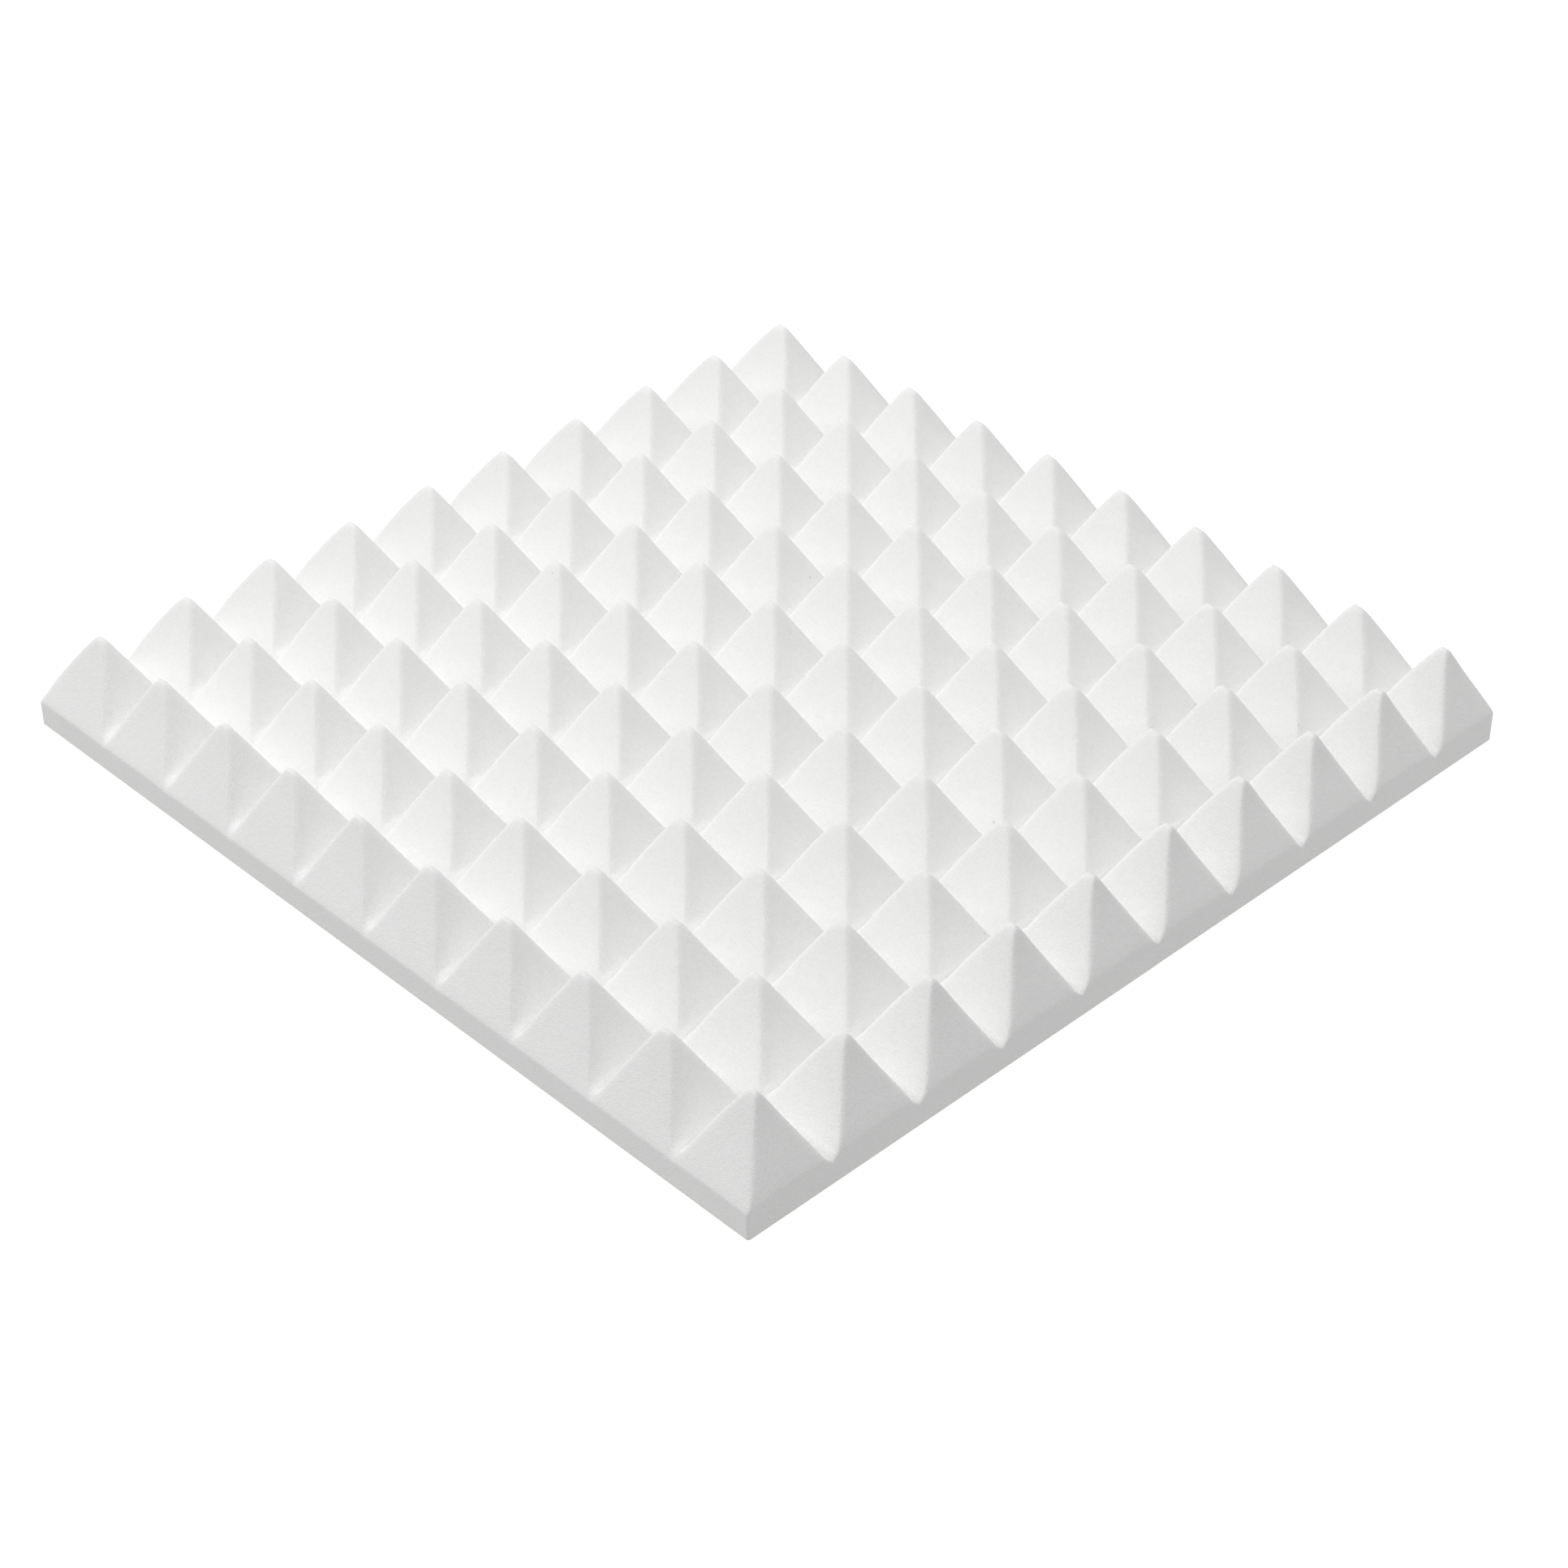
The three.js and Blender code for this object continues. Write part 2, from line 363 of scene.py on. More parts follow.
@dataclass(frozen=True)
class FoamFinish:
    """White foam of small open cells, with faint clouding and a few larger pores.

    The colour is darkened towards the tips as painted shade that stands in for their darker shading,
    while the thick foam at their feet keeps its full colour.

    Attributes:
        colour: The colour of the cell walls.
        painted_hollow_shade: The colour down in the cells, darker as painted shade in their hollows.
        cell_share: How much of the tone the cells give. The clouding gives the rest.
        painted_tip_shade: What is left of the colour at the tips, a painted shade that darkens them.
        painted_shade_heights: The heights at which the painted shade on the tips starts and is full.
        painted_pore_shade: The colour down in the larger pores, a painted shade inside them.
        cell_size: The distance between cells.
        cell_depth: The depth of the cells.
        cloud_size: The width of the clouding.
        pore_spacing: The distance between larger pores.
        pore_radius: Their radius.
        pore_depth: Their depth.
        roughnesses: The roughness down in the cells and on their walls.
        specular: The strength of the shader's gloss.
    """

    colour: Colour = (0.95, 0.95, 0.945)
    painted_hollow_shade: Colour = (0.90, 0.90, 0.895)
    cell_share: float = 0.7
    painted_tip_shade: Colour = (0.955, 0.955, 0.955)
    painted_shade_heights: Pair = (12 * MM, 54 * MM)
    painted_pore_shade: Colour = (0.78, 0.78, 0.78)
    cell_size: float = 0.8 * MM
    cell_depth: float = 0.125 * MM
    cloud_size: float = 45 * MM
    pore_spacing: float = 28 * MM
    pore_radius: float = 1.0 * MM
    pore_depth: float = 0.15 * MM
    roughnesses: Pair = (1.0, 0.92)
    specular: float = 0.15

    def build(self) -> bpy.types.Material:
        """Makes the material.

        Returns:
            The foam's material.
        """
        material, wiring = new_material("white_open_cell_foam")
        place = wiring.add("ShaderNodeTexCoord").outputs["Object"]
        cells = wiring.add(
            "ShaderNodeGroup",
            {"Vector": place, "Cell Size": self.cell_size},
            node_tree=Effects.cells(),
        )
        cloud = wiring.add(
            "ShaderNodeGroup",
            {"Vector": place, "Size": self.cloud_size},
            node_tree=Effects.clouding(),
        )
        pores = wiring.add(
            "ShaderNodeGroup",
            {"Vector": place, "Spacing": self.pore_spacing, "Radius": self.pore_radius},
            node_tree=Effects.pores(),
        )
        cell_tone = cells.outputs["Tone"]
        pore_mask = pores.outputs["Mask"]

        cloud_tone = wiring.math("MULTIPLY", cloud.outputs["Value"], 1 - self.cell_share)
        light_share = wiring.math("MULTIPLY_ADD", cell_tone, self.cell_share, cloud_tone)
        # Partly painted shade: the colour is darker down in the cells, and the clumps and clouding
        # vary it at random.
        tone = wiring.mix(light_share, opaque(self.painted_hollow_shade), opaque(self.colour))
        # Painted shade: the colour is darkened by height towards the tips.
        height = wiring.add("ShaderNodeSeparateXYZ", {"Vector": place}).outputs["Z"]
        rise = wiring.ramp(height, self.painted_shade_heights)
        tip_shaded_tone = wiring.mix(rise, tone, opaque(self.painted_tip_shade), blend="MULTIPLY")
        # Painted shade: the larger pores are darkened inside.
        colour = wiring.mix(pore_mask, tip_shaded_tone, opaque(self.painted_pore_shade))

        roughness = wiring.ramp(cell_tone, (0.0, 1.0), self.roughnesses)
        cell_height = wiring.math("MULTIPLY", cells.outputs["Height"], self.cell_depth)
        pore_height = wiring.math("MULTIPLY", pore_mask, self.pore_depth)
        relief = wiring.math("SUBTRACT", cell_height, pore_height)
        wiring.surface(colour, roughness, relief, Specular_IOR_Level=self.specular)
        return material


@dataclass(frozen=True)
class FilmFinish:
    """Clear, faintly yellow pressure-sensitive adhesive with a wet sheen.

    Attributes:
        colour: The colour in the hollows of its ripples.
        raised_colour: The colour on their crests.
        cloud_size: The width of the ripples.
        ripple_depth: Their depth.
        roughnesses: The roughness in the hollows and on the crests.
        coat_weight: The strength of the wet sheen.
        coat_roughness: Its roughness.
    """

    colour: Colour = (0.79, 0.74, 0.58)
    raised_colour: Colour = (0.85, 0.82, 0.70)
    cloud_size: float = 14 * MM
    ripple_depth: float = 0.03 * MM
    roughnesses: Pair = (0.28, 0.42)
    coat_weight: float = 0.3
    coat_roughness: float = 0.2

    def build(self) -> bpy.types.Material:
        """Makes the material.

        Returns:
            The adhesive film's material.
        """
        material, wiring = new_material("pressure_sensitive_adhesive")
        place = wiring.add("ShaderNodeTexCoord").outputs["Object"]
        cloud = wiring.add(
            "ShaderNodeGroup",
            {"Vector": place, "Size": self.cloud_size},
            node_tree=Effects.clouding(),
        )
        value = cloud.outputs["Value"]
        wiring.surface(
            wiring.mix(value, opaque(self.colour), opaque(self.raised_colour)),
            wiring.ramp(value, (0.0, 1.0), self.roughnesses),
            wiring.math("MULTIPLY", value, self.ripple_depth),
            Coat_Weight=self.coat_weight,
            Coat_Roughness=self.coat_roughness,
        )
        return material


@dataclass(frozen=True)
class LinerFinish:
    """Cream siliconised paper with short fibres and slack, shallow waves.

    Attributes:
        colour: The colour of the paper.
        fibre_colour: The colour of its fibres.
        fibre_size: The width of a fibre.
        fibre_stretch: How many times as long as wide it is.
        fibre_detail: How many octaves of noise the fibres have.
        fibre_limits: The noise values between which paper passes into fibre.
        fibre_depth: How far the fibres stand out.
        wave_size: The width of the waves.
        wave_depth: Their depth.
        roughnesses: The roughness of the paper and of the fibres.
        specular: The strength of the shader's gloss.
    """

    colour: Colour = (0.84, 0.81, 0.73)
    fibre_colour: Colour = (0.78, 0.75, 0.66)
    fibre_size: float = 0.6 * MM
    fibre_stretch: float = 5.0
    fibre_detail: float = 4.0
    fibre_limits: Pair = (0.4, 0.65)
    fibre_depth: float = 0.01 * MM
    wave_size: float = 60 * MM
    wave_depth: float = 0.5 * MM
    roughnesses: Pair = (0.42, 0.58)
    specular: float = 0.4

    def build(self) -> bpy.types.Material:
        """Makes the material.

        Returns:
            The release liner's material.
        """
        material, wiring = new_material("siliconised_liner_paper")
        place = wiring.add("ShaderNodeTexCoord").outputs["Object"]
        wave = wiring.add(
            "ShaderNodeGroup",
            {"Vector": place, "Size": self.wave_size},
            node_tree=Effects.clouding(),
        )
        squeeze = (1.0, 1.0 / self.fibre_stretch, 1.0)
        stretched = wiring.add("ShaderNodeMapping", {"Vector": place, "Scale": squeeze})
        fibre = wiring.add(
            "ShaderNodeTexNoise",
            {
                "Vector": stretched.outputs["Vector"],
                "Scale": 1.0 / self.fibre_size,
                "Detail": self.fibre_detail,
            },
        )
        fibre_share = wiring.ramp(fibre.outputs["Fac"], self.fibre_limits)
        fibre_height = wiring.math("MULTIPLY", fibre_share, self.fibre_depth)
        wave_height = wiring.math("MULTIPLY", wave.outputs["Value"], self.wave_depth)
        wiring.surface(
            wiring.mix(fibre_share, opaque(self.colour), opaque(self.fibre_colour)),
            wiring.ramp(fibre_share, (0.0, 1.0), self.roughnesses),
            wiring.math("ADD", fibre_height, wave_height),
            Specular_IOR_Level=self.specular,
        )
        return material


def place_mesh(bm: bmesh.types.BMesh, name: str, material: bpy.types.Material) -> bpy.types.Object:
    """Turns a finished bmesh into an object in the scene.

    Args:
        bm: The bmesh, which is freed.
        name: The name of the object and its mesh.
        material: The material of all its faces.

    Returns:
        The object.
    """
    mesh = bpy.data.meshes.new(name)
    bm.to_mesh(mesh)
    bm.free()
    mesh.materials.append(material)
    piece = bpy.data.objects.new(name, mesh)
    bpy.context.scene.collection.objects.link(piece)
    return piece


def hump(share: np.ndarray) -> np.ndarray:
    """Gives a parabola that is 0 at a share of 0 and of 1, and 1 halfway between them."""
    return 4 * share * (1 - share)


@dataclass(frozen=True)
class CutProfile:
    """One of the two crossing cuts that shape the foam, seen along its valleys.

    Its places and distances run along one axis, across its valleys.

    Attributes:
        low: Where the panel's low side lies.
        high: Where the panel's high side lies.
        trims: How far the low and the high side lie inside their outermost valley lines.
        bows: How far the flanks on a crest's low and high side are hollowed at their middles.
        outer_pulls: How many times as fast the outermost low and high flank fall as the others.
        outer_starts: How much further down the outermost low and high flank are past their tops.
        start_reach: How far from its crest an outermost flank is further down by its full measure.
        crest_half: Half the length of the level crest, or less than 0 for a crest that is cut lower.
        crest_offset: How far each crest stands from the middle of its valleys, to the high side.
        first_shift: How much further the first crest stands to the high side than the others.
        crest_round: The softness of the crest's edge.
        valley_round: The softness of the valley.
        rows: The number of crests.
        LEAST_STEP: The least distance between two lines of the mesh.
        TINY: How far short of a valley line its own flank is measured.
        FLANK_SAMPLES: How many places of a flank are measured to put lines on it.
    """

    low: float
    high: float
    trims: Pair
    bows: Pair
    outer_pulls: Pair
    outer_starts: Pair
    start_reach: float
    crest_half: float
    crest_offset: float
    first_shift: float
    crest_round: float
    valley_round: float
    rows: int = 10

    LEAST_STEP: ClassVar[float] = 0.03 * MM
    TINY: ClassVar[float] = 0.0001 * MM
    FLANK_SAMPLES: ClassVar[int] = 160

    @property
    def first_valley(self) -> float:
        """Where the outermost valley line on the low side lies."""
        return self.low - self.trims[0]

    @property
    def pitch(self) -> float:
        """The distance between two crests."""
        return (self.high + self.trims[1] - self.first_valley) / self.rows

    @property
    def half(self) -> float:
        """Half of the pitch."""
        return self.pitch / 2

    def row_of(self, places: np.ndarray) -> np.ndarray:
        """Finds the crest that each place belongs to.

        Args:
            places: Places along the axis.

        Returns:
            The crests' numbers, from 0.
        """
        rows = np.floor((places - self.first_valley) / self.pitch).astype(int)
        return np.clip(rows, 0, self.rows - 1)

    def lean(self, row: np.ndarray) -> np.ndarray:
        """Gives how far a row's crest stands from the middle of its valleys, to the high side."""
        return self.crest_offset + np.where(row == 0, self.first_shift, 0.0)

    def distance(self, places: np.ndarray) -> np.ndarray:
        """Measures each place's distance past its level crest.

        Args:
            places: Places along the axis.

        Returns:
            The distances, evened out so that half a pitch reaches the valley on both sides. The
            last flank meets no other one, so it isn't rounded off.
        """
        row = self.row_of(places)
        lean = self.lean(row)
        offset = places - self.first_valley - row * self.pitch - self.half - lean
        falls_low = offset < 0
        share = np.abs(offset) / np.where(falls_low, self.half + lean, self.half - lean)
        even = share * self.half + np.where(falls_low, *self.bows) * hump(share)
        left = self.half - even
        first_flank = falls_low & (row == 0)
        last_flank = ~falls_low & (row == self.rows - 1)

        crest = np.hypot(even, self.crest_round) - self.crest_round * (1 - even / self.half)
        valley = np.where(last_flank, 0.0, np.hypot(left, self.valley_round) - left)
        distance = crest - self.crest_half - valley
        reached = np.clip(even / self.start_reach, 0, 1)
        easing = reached * (2 - reached)
        outer = zip((first_flank, last_flank), self.outer_pulls, self.outer_starts)
        for flank, pull, start in outer:
            distance = np.where(flank, distance * pull + start * easing, distance)
        return np.minimum(distance, self.half)

    def stations(self, steps: np.ndarray, edge_insets: np.ndarray) -> np.ndarray:
        """Lists where the mesh has a line across the cut.

        Args:
            steps: The distances past the level crest at which each flank has lines.
            edge_insets: The distances in from the sides at which there are lines too, the least
                first.

        Returns:
            The places, from the low side to the high side.
        """
        places = []
        for row in range(self.rows):
            valley = self.first_valley + row * self.pitch
            crest = valley + self.half + float(self.lean(row))
            places += [valley, crest]
            for end in (valley + self.TINY, valley + self.pitch - self.TINY):
                flank = np.linspace(crest, end, self.FLANK_SAMPLES)
                places += list(np.interp(steps, self.distance(flank), flank))
        places.append(self.first_valley + self.rows * self.pitch)
        inner_low = self.low + edge_insets[-1]
        inner_high = self.high - edge_insets[-1]
        inner = [place for place in places if inner_low < place < inner_high]
        edges = [*(self.low + edge_insets), *(self.high - edge_insets)]
        merged = sorted([*inner, *edges])
        kept = [merged[0]]
        for place in merged[1:]:
            if place - kept[-1] > self.LEAST_STEP:
                kept.append(place)
        # A line that lies just short of the high side gives way to the side itself.
        kept[-1] = self.high
        return np.array(kept)


@dataclass
class FoamPanel:
    """The foam block with its face of pyramids.

    Heights are above the foam's back. Where a size has two values, one for each cut, the first is
    that of the cut along X, whose valleys run along Y, and the second that of the cut along Y.

    Attributes:
        low: The block's lowest corner.
        high: The block's highest corner.
        valley_height: The height of the valley lines before they are rounded.
        crest_height: The height of the tips.
        tip_round: The radius that rounds a flank's top.
        bulge_share: How far the flanks bulge at their middles, as a share of their height.
        ridge_softness: The softness of the ridges where two flanks meet.
        tip_softness: The same at the tips.
        tip_reach: How far from the tip a ridge has its full softness.
        trims: For each cut, how far the low and the high side lie inside its outermost valleys.
        bows: For each cut, how far its flanks are hollowed on a crest's low and high side.
        outer_pulls: For each cut, how many times as fast its outermost two flanks fall.
        outer_starts: For each cut, how much further down its outermost two flanks are.
        outer_start_reach: How far from its crest an outermost flank is down by that full measure.
        crest_halves: Half the length of the level crests.
        crest_rounds: The softness of the crests' edges.
        valley_rounds: The softness of the valleys.
        crest_offsets: How far the crests stand from the middles of their valleys.
        first_shifts: How much further the first crest stands to the high side than the others.
        edge_round_in: How far in from the sides the soft edge starts.
        edge_round_down: How far down the sides it ends.
        corner_radius: The radius of the upright corners.
        flank_line_count: How many lines of the mesh a flank has.
        flank_crowding: How much the lines crowd to the crest. With 1 they are even.
        valley_line_gap: How far before the valley line the last one lies.
        crest_line_shares: Where a crest has lines, as shares of half its length.
        edge_line_shares: Where the soft edge has lines, as shares of its width.
        side_step_shares: Where the upright sides have lines, as shares of their height.
        tip_wander: How far a tip strays from its drawn place.
        wave_depths: The width and the depth of each layer of waves in the cut face.
        seed: The seed of the tips' straying.
    """

    low: Vector
    high: Vector
    valley_height: float = 8.0 * MM
    crest_height: float = 53.2 * MM
    tip_round: float = 0.7 * MM
    bulge_share: float = 0.032
    ridge_softness: float = 1.4 * MM
    tip_softness: float = 0.9 * MM
    tip_reach: float = 8.0 * MM
    trims: tuple[Pair, Pair] = ((2.7 * MM, 4.5 * MM), (5.7 * MM, -4.6 * MM))
    bows: tuple[Pair, Pair] = ((0.2 * MM, 0.9 * MM), (-1.3 * MM, -1.3 * MM))
    outer_pulls: tuple[Pair, Pair] = ((0.97, 1.0), (1.06, 0.77))
    outer_starts: tuple[Pair, Pair] = ((0.9 * MM, 0.0), (3.2 * MM, 0.0))
    outer_start_reach: float = 9.0 * MM
    crest_halves: Pair = (-0.15 * MM, 1.4 * MM)
    crest_rounds: Pair = (0.6 * MM, 0.0)
    valley_rounds: Pair = (2.0 * MM, 2.6 * MM)
    crest_offsets: Pair = (-0.1 * MM, 1.0 * MM)
    first_shifts: Pair = (-0.1 * MM, -1.7 * MM)
    edge_round_in: float = 2.3 * MM
    edge_round_down: float = 1.0 * MM
    corner_radius: float = 1.5 * MM
    flank_line_count: int = 12
    flank_crowding: float = 1.12
    valley_line_gap: float = 0.5 * MM
    crest_line_shares: Pair = (1.0, 0.5)
    edge_line_shares: tuple[float, ...] = (0.0, 0.012, 0.05, 0.12, 0.23, 0.38, 0.58, 0.8)
    side_step_shares: tuple[float, ...] = (0.12, 0.3, 0.52, 0.76, 1.0)
    tip_wander: float = 0.25 * MM
    wave_depths: tuple[Pair, ...] = ((38 * MM, 0.12 * MM), (11 * MM, 0.05 * MM))
    seed: int = 11

    def __post_init__(self) -> None:
        """Works out the block's middle, its half size and the two cuts."""
        self.middle: Vector = (self.low + self.high) / 2
        self.reach: Vector = (self.high - self.low) / 2
        self.cut_x, self.cut_y = (self.cut(axis) for axis in range(2))

    def cut(self, axis: int) -> CutProfile:
        """Sets out one of the two cuts.

        Args:
            axis: The axis across the cut's valleys, 0 for X and 1 for Y.

        Returns:
            The cut.
        """
        return CutProfile(
            low=self.low[axis],
            high=self.high[axis],
            trims=self.trims[axis],
            bows=self.bows[axis],
            outer_pulls=self.outer_pulls[axis],
            outer_starts=self.outer_starts[axis],
            start_reach=self.outer_start_reach,
            crest_half=self.crest_halves[axis],
            crest_offset=self.crest_offsets[axis],
            first_shift=self.first_shifts[axis],
            crest_round=self.crest_rounds[axis],
            valley_round=self.valley_rounds[axis],
        )

    def rounded_fall(self, distance: float | np.ndarray) -> float | np.ndarray:
        """Gives a straight fall of one in one whose start is rounded off."""
        return np.hypot(distance, self.tip_round) - self.tip_round

    def flank_height(self, distance: np.ndarray) -> np.ndarray:
        """Gives a flank's height at a distance past the crest.

        Args:
            distance: Distances past the crest, where half a pitch is the valley line.

        Returns:
            The heights.
        """
        half = self.cut_x.half
        past = np.clip(distance, 0.0, half)
        fallen = self.rounded_fall(past) / self.rounded_fall(half)
        bulge = self.bulge_share * hump(past / half)
        return self.valley_height + (self.crest_height - self.valley_height) * (1 - fallen + bulge)

    def past_corner(self, x: np.ndarray, y: np.ndarray) -> tuple[np.ndarray, np.ndarray]:
        """Measures how far out places lie past the centres of the corners' rounding.

        Args:
            x: Places along X.
            y: Places along Y.

        Returns:
            The distances along X and along Y, below 0 further in.
        """
        past_x = np.abs(x - self.middle.x) - (self.reach.x - self.corner_radius)
        past_y = np.abs(y - self.middle.y) - (self.reach.y - self.corner_radius)
        return past_x, past_y

    def inset(self, x: np.ndarray, y: np.ndarray) -> np.ndarray:
        """Measures how far places lie in from the block's rounded outline.

        Args:
            x: Places along X.
            y: Places along Y.

        Returns:
            The distances, 0 on the outline.
        """
        past_x, past_y = self.past_corner(x, y)
        outside = np.hypot(np.maximum(past_x, 0), np.maximum(past_y, 0))
        inside = np.minimum(np.maximum(past_x, past_y), 0)
        return np.maximum(self.corner_radius - outside - inside, 0)

    def top_height(self, x: np.ndarray, y: np.ndarray) -> np.ndarray:
        """Gives the height of the cut face.

        Args:
            x: Places along X.
            y: Places along Y.

        Returns:
            The heights, of the lower one of the two cuts, softened where they meet in a ridge.
        """
        past_x = self.cut_x.distance(x)
        past_y = self.cut_y.distance(y)
        reached = np.clip(np.maximum(past_x, past_y) / self.tip_reach, 0, 1)
        widening = reached**2 * (3 - 2 * reached)
        softness = self.tip_softness + (self.ridge_softness - self.tip_softness) * widening
        distance = (past_x + past_y + np.hypot(past_x - past_y, softness)) / 2
        edge_share = np.clip(1 - self.inset(x, y) / self.edge_round_in, 0, 1)
        drop = self.edge_round_down * (1 - np.sqrt(1 - edge_share**2))
        return self.flank_height(distance) - drop

    def rounded_corner(self, x: np.ndarray, y: np.ndarray) -> tuple[np.ndarray, np.ndarray]:
        """Moves the places in the square corners onto the rounded ones.

        Args:
            x: Places along X.
            y: Places along Y.

        Returns:
            The moved places along X and along Y.
        """
        past_x, past_y = (np.maximum(past, 0) for past in self.past_corner(x, y))
        length = np.hypot(past_x, past_y)
        longer = np.maximum(past_x, past_y)
        cut_back = 1 - np.divide(longer, length, out=np.ones_like(length), where=length > 0)
        side_x = x - np.sign(x - self.middle.x) * past_x * cut_back
        side_y = y - np.sign(y - self.middle.y) * past_y * cut_back
        return side_x, side_y

    def unevenness(self, x: np.ndarray, y: np.ndarray, height: np.ndarray) -> np.ndarray:
        """Works out how far a real cut strays from the drawn one.

        Args:
            x: Places along X.
            y: Places along Y.
            height: The heights there.

        Returns:
            One small move in X, Y and Z for each place.
        """
        picker = random.Random(self.seed)
        rows = self.cut_x.rows
        wander = np.array(
            [[[picker.uniform(-1, 1) for _ in range(3)] for _ in range(rows)] for _ in range(rows)]
        )
        rise = np.clip((height - self.valley_height) / (self.crest_height - self.valley_height), 0, 1)
        tip_move = wander[self.cut_x.row_of(x), self.cut_y.row_of(y)] * self.tip_wander
        move = tip_move * (rise**2)[:, None]
        for size, depth in self.wave_depths:
            waves = [noise.noise(Vector(place) / size) for place in zip(x, y, height)]
            move[:, 2] += depth * np.array(waves)
        return move

    def build_face(self, bm: bmesh.types.BMesh) -> None:
        """Makes the cut face as one grid whose lines run along the crests, ridges and valleys.

        Args:
            bm: The mesh that the grid goes into.
        """
        longest = max(self.crest_halves)
        crest_steps = -longest * np.array(self.crest_line_shares)
        shares = np.linspace(0, 1, self.flank_line_count + 1) ** self.flank_crowding
        flank_steps = shares * (self.cut_x.half - longest)
        steps = np.array([*crest_steps, *flank_steps, self.cut_x.half - self.valley_line_gap])
        insets = np.array(self.edge_line_shares) * self.edge_round_in
        xs = self.cut_x.stations(steps, insets)
        ys = self.cut_y.stations(steps, insets)
        bmesh.ops.create_grid(bm, x_segments=len(xs) - 1, y_segments=len(ys) - 1, size=1.0)
        drawn = np.array([vert.co[:2] for vert in bm.verts])
        columns = np.rint((drawn[:, 0] + 1) / 2 * (len(xs) - 1)).astype(int)
        lines = np.rint((drawn[:, 1] + 1) / 2 * (len(ys) - 1)).astype(int)
        x, y = self.rounded_corner(xs[columns], ys[lines])
        height = self.top_height(x, y)
        inset_share = np.clip(self.inset(x, y) / self.edge_round_in, 0, 1)
        move = self.unevenness(x, y, height) * inset_share[:, None]
        places = np.stack([x, y, height + self.low.z], 1) + move
        for vert, place in zip(bm.verts, places):
            vert.co = place

    def build_sides(self, bm: bmesh.types.BMesh) -> None:
        """Draws the face's rim down to the back and closes the back.

        Args:
            bm: The mesh that holds the face.
        """
        rim = [edge for edge in bm.edges if edge.is_boundary]
        tops = {tuple(vert.co[:2]): vert.co.z for edge in rim for vert in edge.verts}
        for share in self.side_step_shares:
            grown = bmesh.ops.extrude_edge_only(bm, edges=rim)["geom"]
            for vert in (part for part in grown if isinstance(part, bmesh.types.BMVert)):
                top = tops[tuple(vert.co[:2])]
                vert.co.z = top + (self.low.z - top) * share
            rim = [part for part in grown if isinstance(part, bmesh.types.BMEdge) and part.is_boundary]
        for edge in rim:
            edge.smooth = False
        bmesh.ops.edgeloop_fill(bm, edges=rim)

    def build(self, finish: FoamFinish) -> bpy.types.Object:
        """Makes the foam block and puts it in the frame.

        Args:
            finish: The foam's finish.

        Returns:
            The foam block.
        """
        bm = bmesh.new()
        self.build_face(bm)
        self.build_sides(bm)
        for face in bm.faces:
            face.smooth = True
        bmesh.ops.triangulate(bm, faces=bm.faces[:], quad_method="LONG_EDGE", ngon_method="BEAUTY")
        bmesh.ops.recalc_face_normals(bm, faces=bm.faces[:])
        foam = place_mesh(bm, "pyramid_foam", finish.build())
        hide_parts("foam_panel")
        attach(foam, "root")
        LOG.info("%s: %d triangles", foam.name, len(foam.data.polygons))
        return foam


@dataclass
class BackLayers:
    """The thin layers on the foam's back: the adhesive film and the two liner halves.

    They keep the meshes that they come with.
    """

    film_node: str = "adhesive_film"
    film_finish: FilmFinish = FilmFinish()
    liner_finish: LinerFinish = LinerFinish()

    def dress(self) -> None:
        """Gives each layer its material."""
        self._paint(self.film_node, self.film_finish.build())
        paper = self.liner_finish.build()
        for half in LinerHalf:
            self._paint(half.value, paper)

    @staticmethod
    def _paint(node: str, material: bpy.types.Material) -> None:
        """Puts a material on every face of a node.

        Args:
            node: The node's name.
            material: Its new material.
        """
        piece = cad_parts[node]
        piece.data.materials.clear()
        piece.data.materials.append(material)
        LOG.info("%s: %s", node, material.name)


@dataclass(frozen=True)
class Floor:
    """A plain white floor under the panel that keeps a faint shadow.

    Attributes:
        side: The length of its sides.
        gap: How far under the panel it lies.
        own_light: How bright it is by itself.
        colour: How much it gives back of the light that falls on it.
    """

    side: float = 8.0
    gap: float = 0.2 * MM
    own_light: float = 0.82
    colour: Colour = (0.45, 0.45, 0.45)

    def material(self) -> bpy.types.Material:
        """Makes the floor's material, which only shows, and lights nothing.

        Returns:
            The material.
        """
        material, wiring = new_material("white_floor")
        behind = wiring.add("ShaderNodeNewGeometry").outputs["Backfacing"]
        shown = wiring.math("MULTIPLY", wiring.seen(), wiring.math("SUBTRACT", 1.0, behind))
        shade = wiring.add("ShaderNodeBsdfDiffuse", {"Color": opaque(self.colour)})
        glow = wiring.add("ShaderNodeEmission", {"Strength": self.own_light})
        both = wiring.add("ShaderNodeAddShader")
        wiring.feed(shade.outputs["BSDF"], both.inputs[0])
        wiring.feed(glow.outputs["Emission"], both.inputs[1])
        clear = wiring.add("ShaderNodeBsdfTransparent")
        choice = wiring.add("ShaderNodeMixShader", {"Fac": shown})
        wiring.feed(clear.outputs["BSDF"], choice.inputs[1])
        wiring.feed(both.outputs["Shader"], choice.inputs[2])
        wiring.add("ShaderNodeOutputMaterial", {"Surface": choice.outputs["Shader"]})
        return material

    def build(self) -> bpy.types.Object:
        """Lays the floor just under the panel.

        Returns:
            The floor.
        """
        bm = bmesh.new()
        bmesh.ops.create_grid(bm, x_segments=1, y_segments=1, size=self.side / 2)
        bmesh.ops.translate(bm, verts=bm.verts[:], vec=(0.0, 0.0, -self.gap))
        floor = place_mesh(bm, "floor", self.material())
        return floor


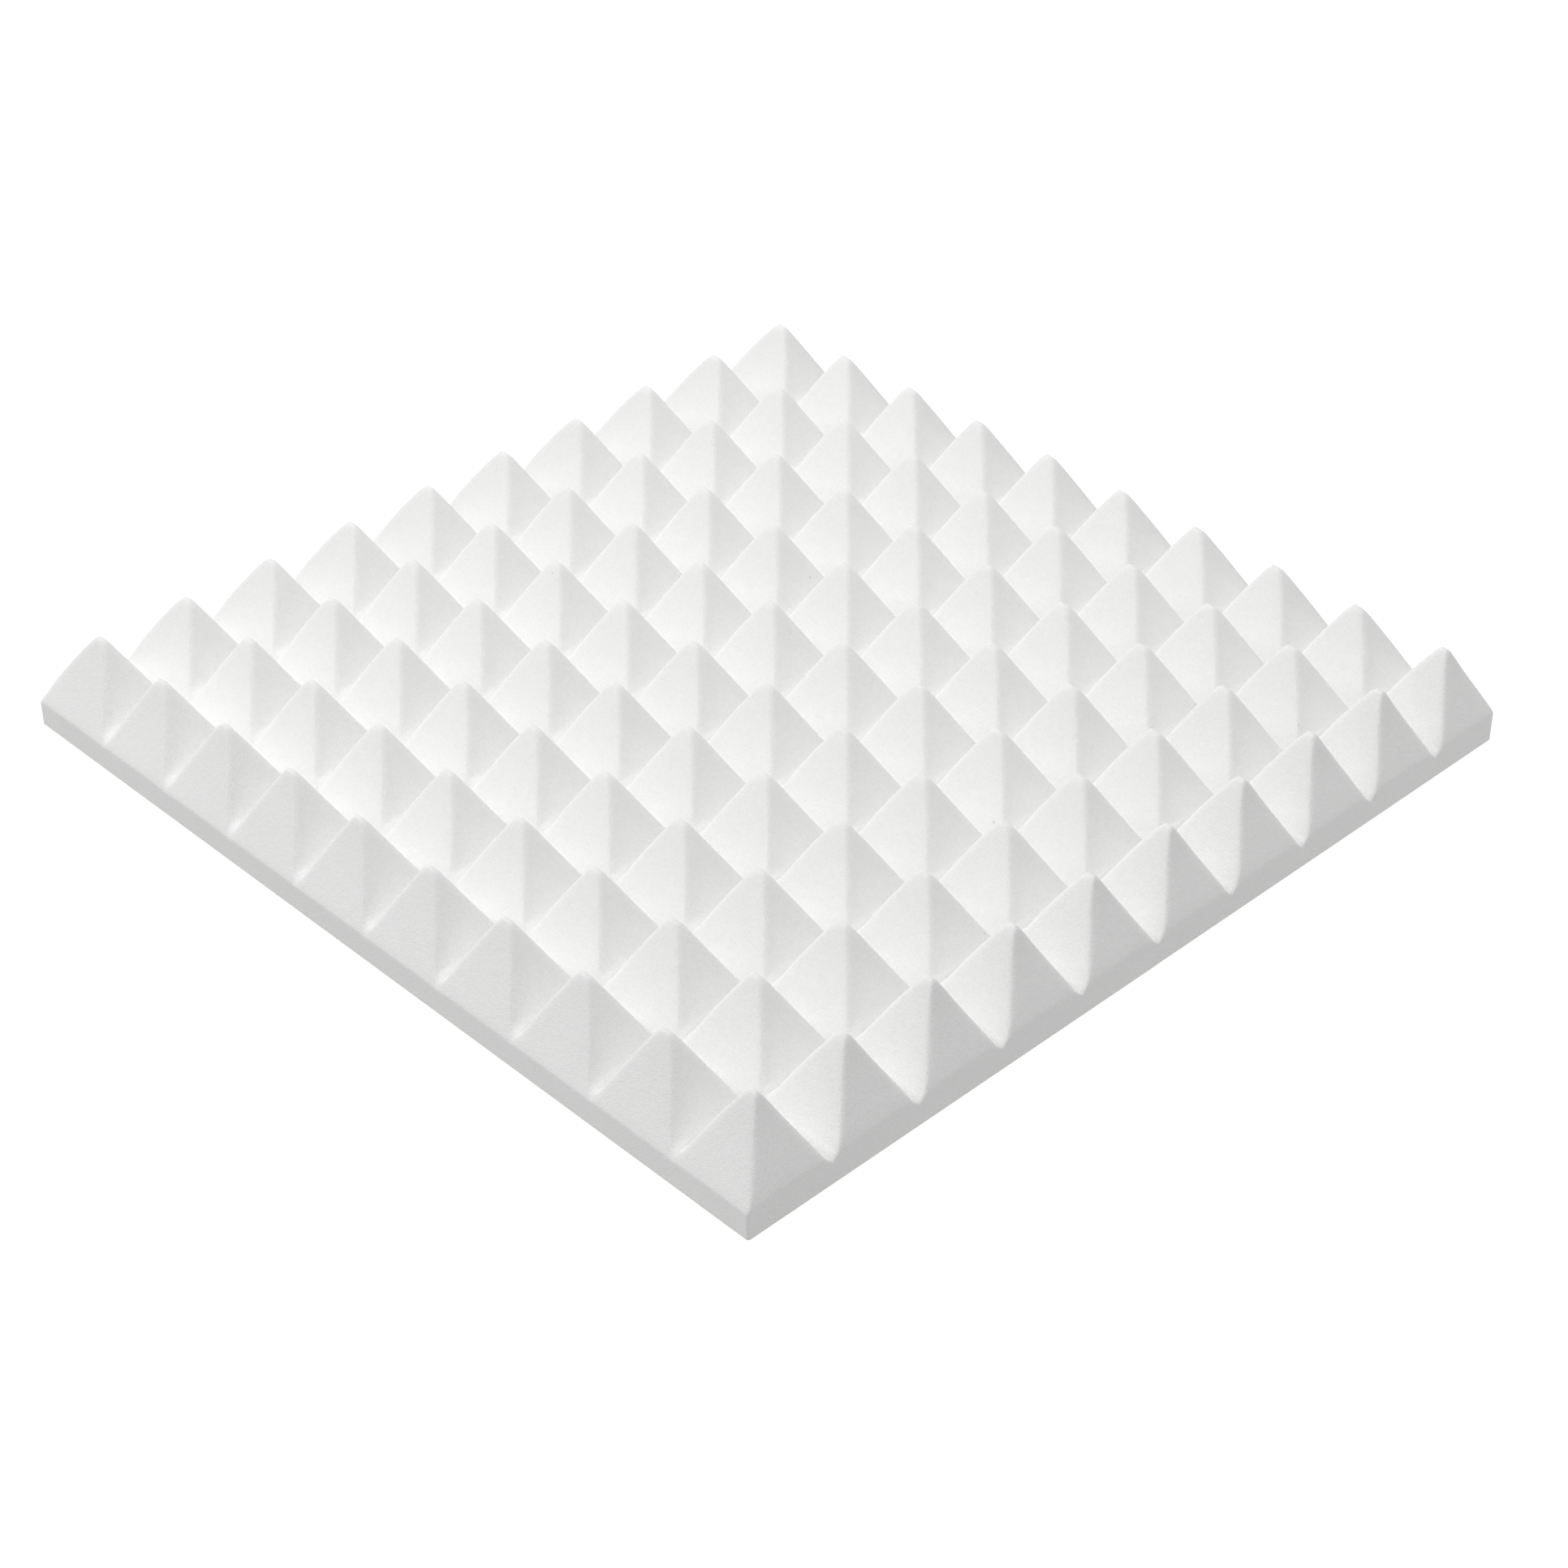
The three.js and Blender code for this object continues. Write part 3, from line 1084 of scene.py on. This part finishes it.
@dataclass(frozen=True)
class Lamp:
    """A round soft light that faces the panel.

    Attributes:
        name: The lamp's name.
        azimuth: Its bearing in degrees, 0 straight out from the front side and 90 from the right one.
        elevation: Its height above the horizon in degrees.
        distance: Its distance from the panel's middle.
        size: Its diameter.
        power: Its power in watts.
    """

    name: str
    azimuth: float
    elevation: float
    distance: float
    size: float
    power: float

    def place(self, target: Vector) -> bpy.types.Object:
        """Puts the lamp in the scene.

        Args:
            target: The point that the lamp faces.

        Returns:
            The lamp.
        """
        turn = math.radians(self.azimuth)
        rise = math.radians(self.elevation)
        level = math.cos(rise)
        towards = Vector((math.sin(turn) * level, -math.cos(turn) * level, math.sin(rise)))
        data = bpy.data.lights.new(self.name, "AREA")
        data.shape = "DISK"
        data.size = self.size
        data.energy = self.power
        lamp = bpy.data.objects.new(self.name, data)
        lamp.location = target + towards * self.distance
        lamp.rotation_euler = towards.to_track_quat("Z", "Y").to_euler()
        bpy.context.scene.collection.objects.link(lamp)
        return lamp


@dataclass(frozen=True)
class Studio:
    """The soft studio light around the panel.

    Attributes:
        lamps: The lamps.
        sky: The strength of the light from above the horizon.
        ground: The strength of the light from below it.
        horizon: How far above and below the horizon one passes into the other.
    """

    lamps: tuple[Lamp, ...] = (
        Lamp("key_softbox", azimuth=-135.0, elevation=50.0, distance=2.4, size=1.5, power=18.0),
        Lamp("back_softbox", azimuth=135.0, elevation=70.0, distance=1.6, size=1.0, power=4.8),
        Lamp("side_softbox", azimuth=45.0, elevation=20.0, distance=1.6, size=1.0, power=1.25),
    )
    sky: float = 0.765
    ground: float = 0.545
    horizon: float = 0.15

    def build(self) -> None:
        """Places the lamps and sets the world."""
        target = (cad_box[0] + cad_box[1]) / 2
        for lamp in self.lamps:
            lamp.place(target)
        world = bpy.data.worlds.new("white_studio")
        bpy.context.scene.world = world
        world.use_nodes = True
        world.node_tree.nodes.clear()
        wiring = Wiring(world.node_tree)
        direction = wiring.add("ShaderNodeTexCoord").outputs["Generated"]
        height = wiring.add("ShaderNodeSeparateXYZ", {"Vector": direction}).outputs["Z"]
        light = wiring.ramp(height, (-self.horizon, self.horizon), (self.ground, self.sky))
        strength = wiring.math("MAXIMUM", light, wiring.seen())
        shader = wiring.add("ShaderNodeBackground", {"Strength": strength})
        wiring.add("ShaderNodeOutputWorld", {"Surface": shader.outputs["Background"]})
        bpy.context.scene.view_settings.view_transform = "Standard"


@dataclass(frozen=True)
class PhotoCamera:
    """The camera at the photograph's viewing angle.

    Attributes:
        place: Where it stands.
        turns: Its turns about X, Y and Z in degrees.
        lens: Its focal length in millimetres.
        sensor_width: The width of its sensor in millimetres.
        shift: Its shift in shares of the frame's width.
        clip: The least and the greatest distance that it shows.
    """

    place: tuple[float, float, float] = (-893.7 * MM, -945.8 * MM, 913.6 * MM)
    turns: tuple[float, float, float] = (56.478, 0.274, -43.892)
    lens: float = 75.27
    sensor_width: float = 36.0
    shift: Pair = (0.0039, -0.0906)
    clip: Pair = (0.05, 50.0)

    def build(self) -> bpy.types.Object:
        """Makes the camera and makes it the scene's own.

        Returns:
            The camera.
        """
        data = bpy.data.cameras.new("photo_camera")
        data.lens = self.lens
        data.sensor_width = self.sensor_width
        data.shift_x, data.shift_y = self.shift
        data.clip_start, data.clip_end = self.clip
        camera = bpy.data.objects.new("photo_camera", data)
        camera.location = self.place
        camera.rotation_euler = [math.radians(turn) for turn in self.turns]
        bpy.context.scene.collection.objects.link(camera)
        bpy.context.scene.camera = camera
        return camera


def main() -> None:
    """Builds the camera, the panel's pieces, the floor and the light, in that order."""
    logging.basicConfig(level=logging.INFO, format="%(message)s")
    PhotoCamera().build()
    FoamPanel(*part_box("foam_panel")).build(FoamFinish())
    BackLayers().dress()
    Floor().build()
    Studio().build()


if __name__ == "__main__":
    main()
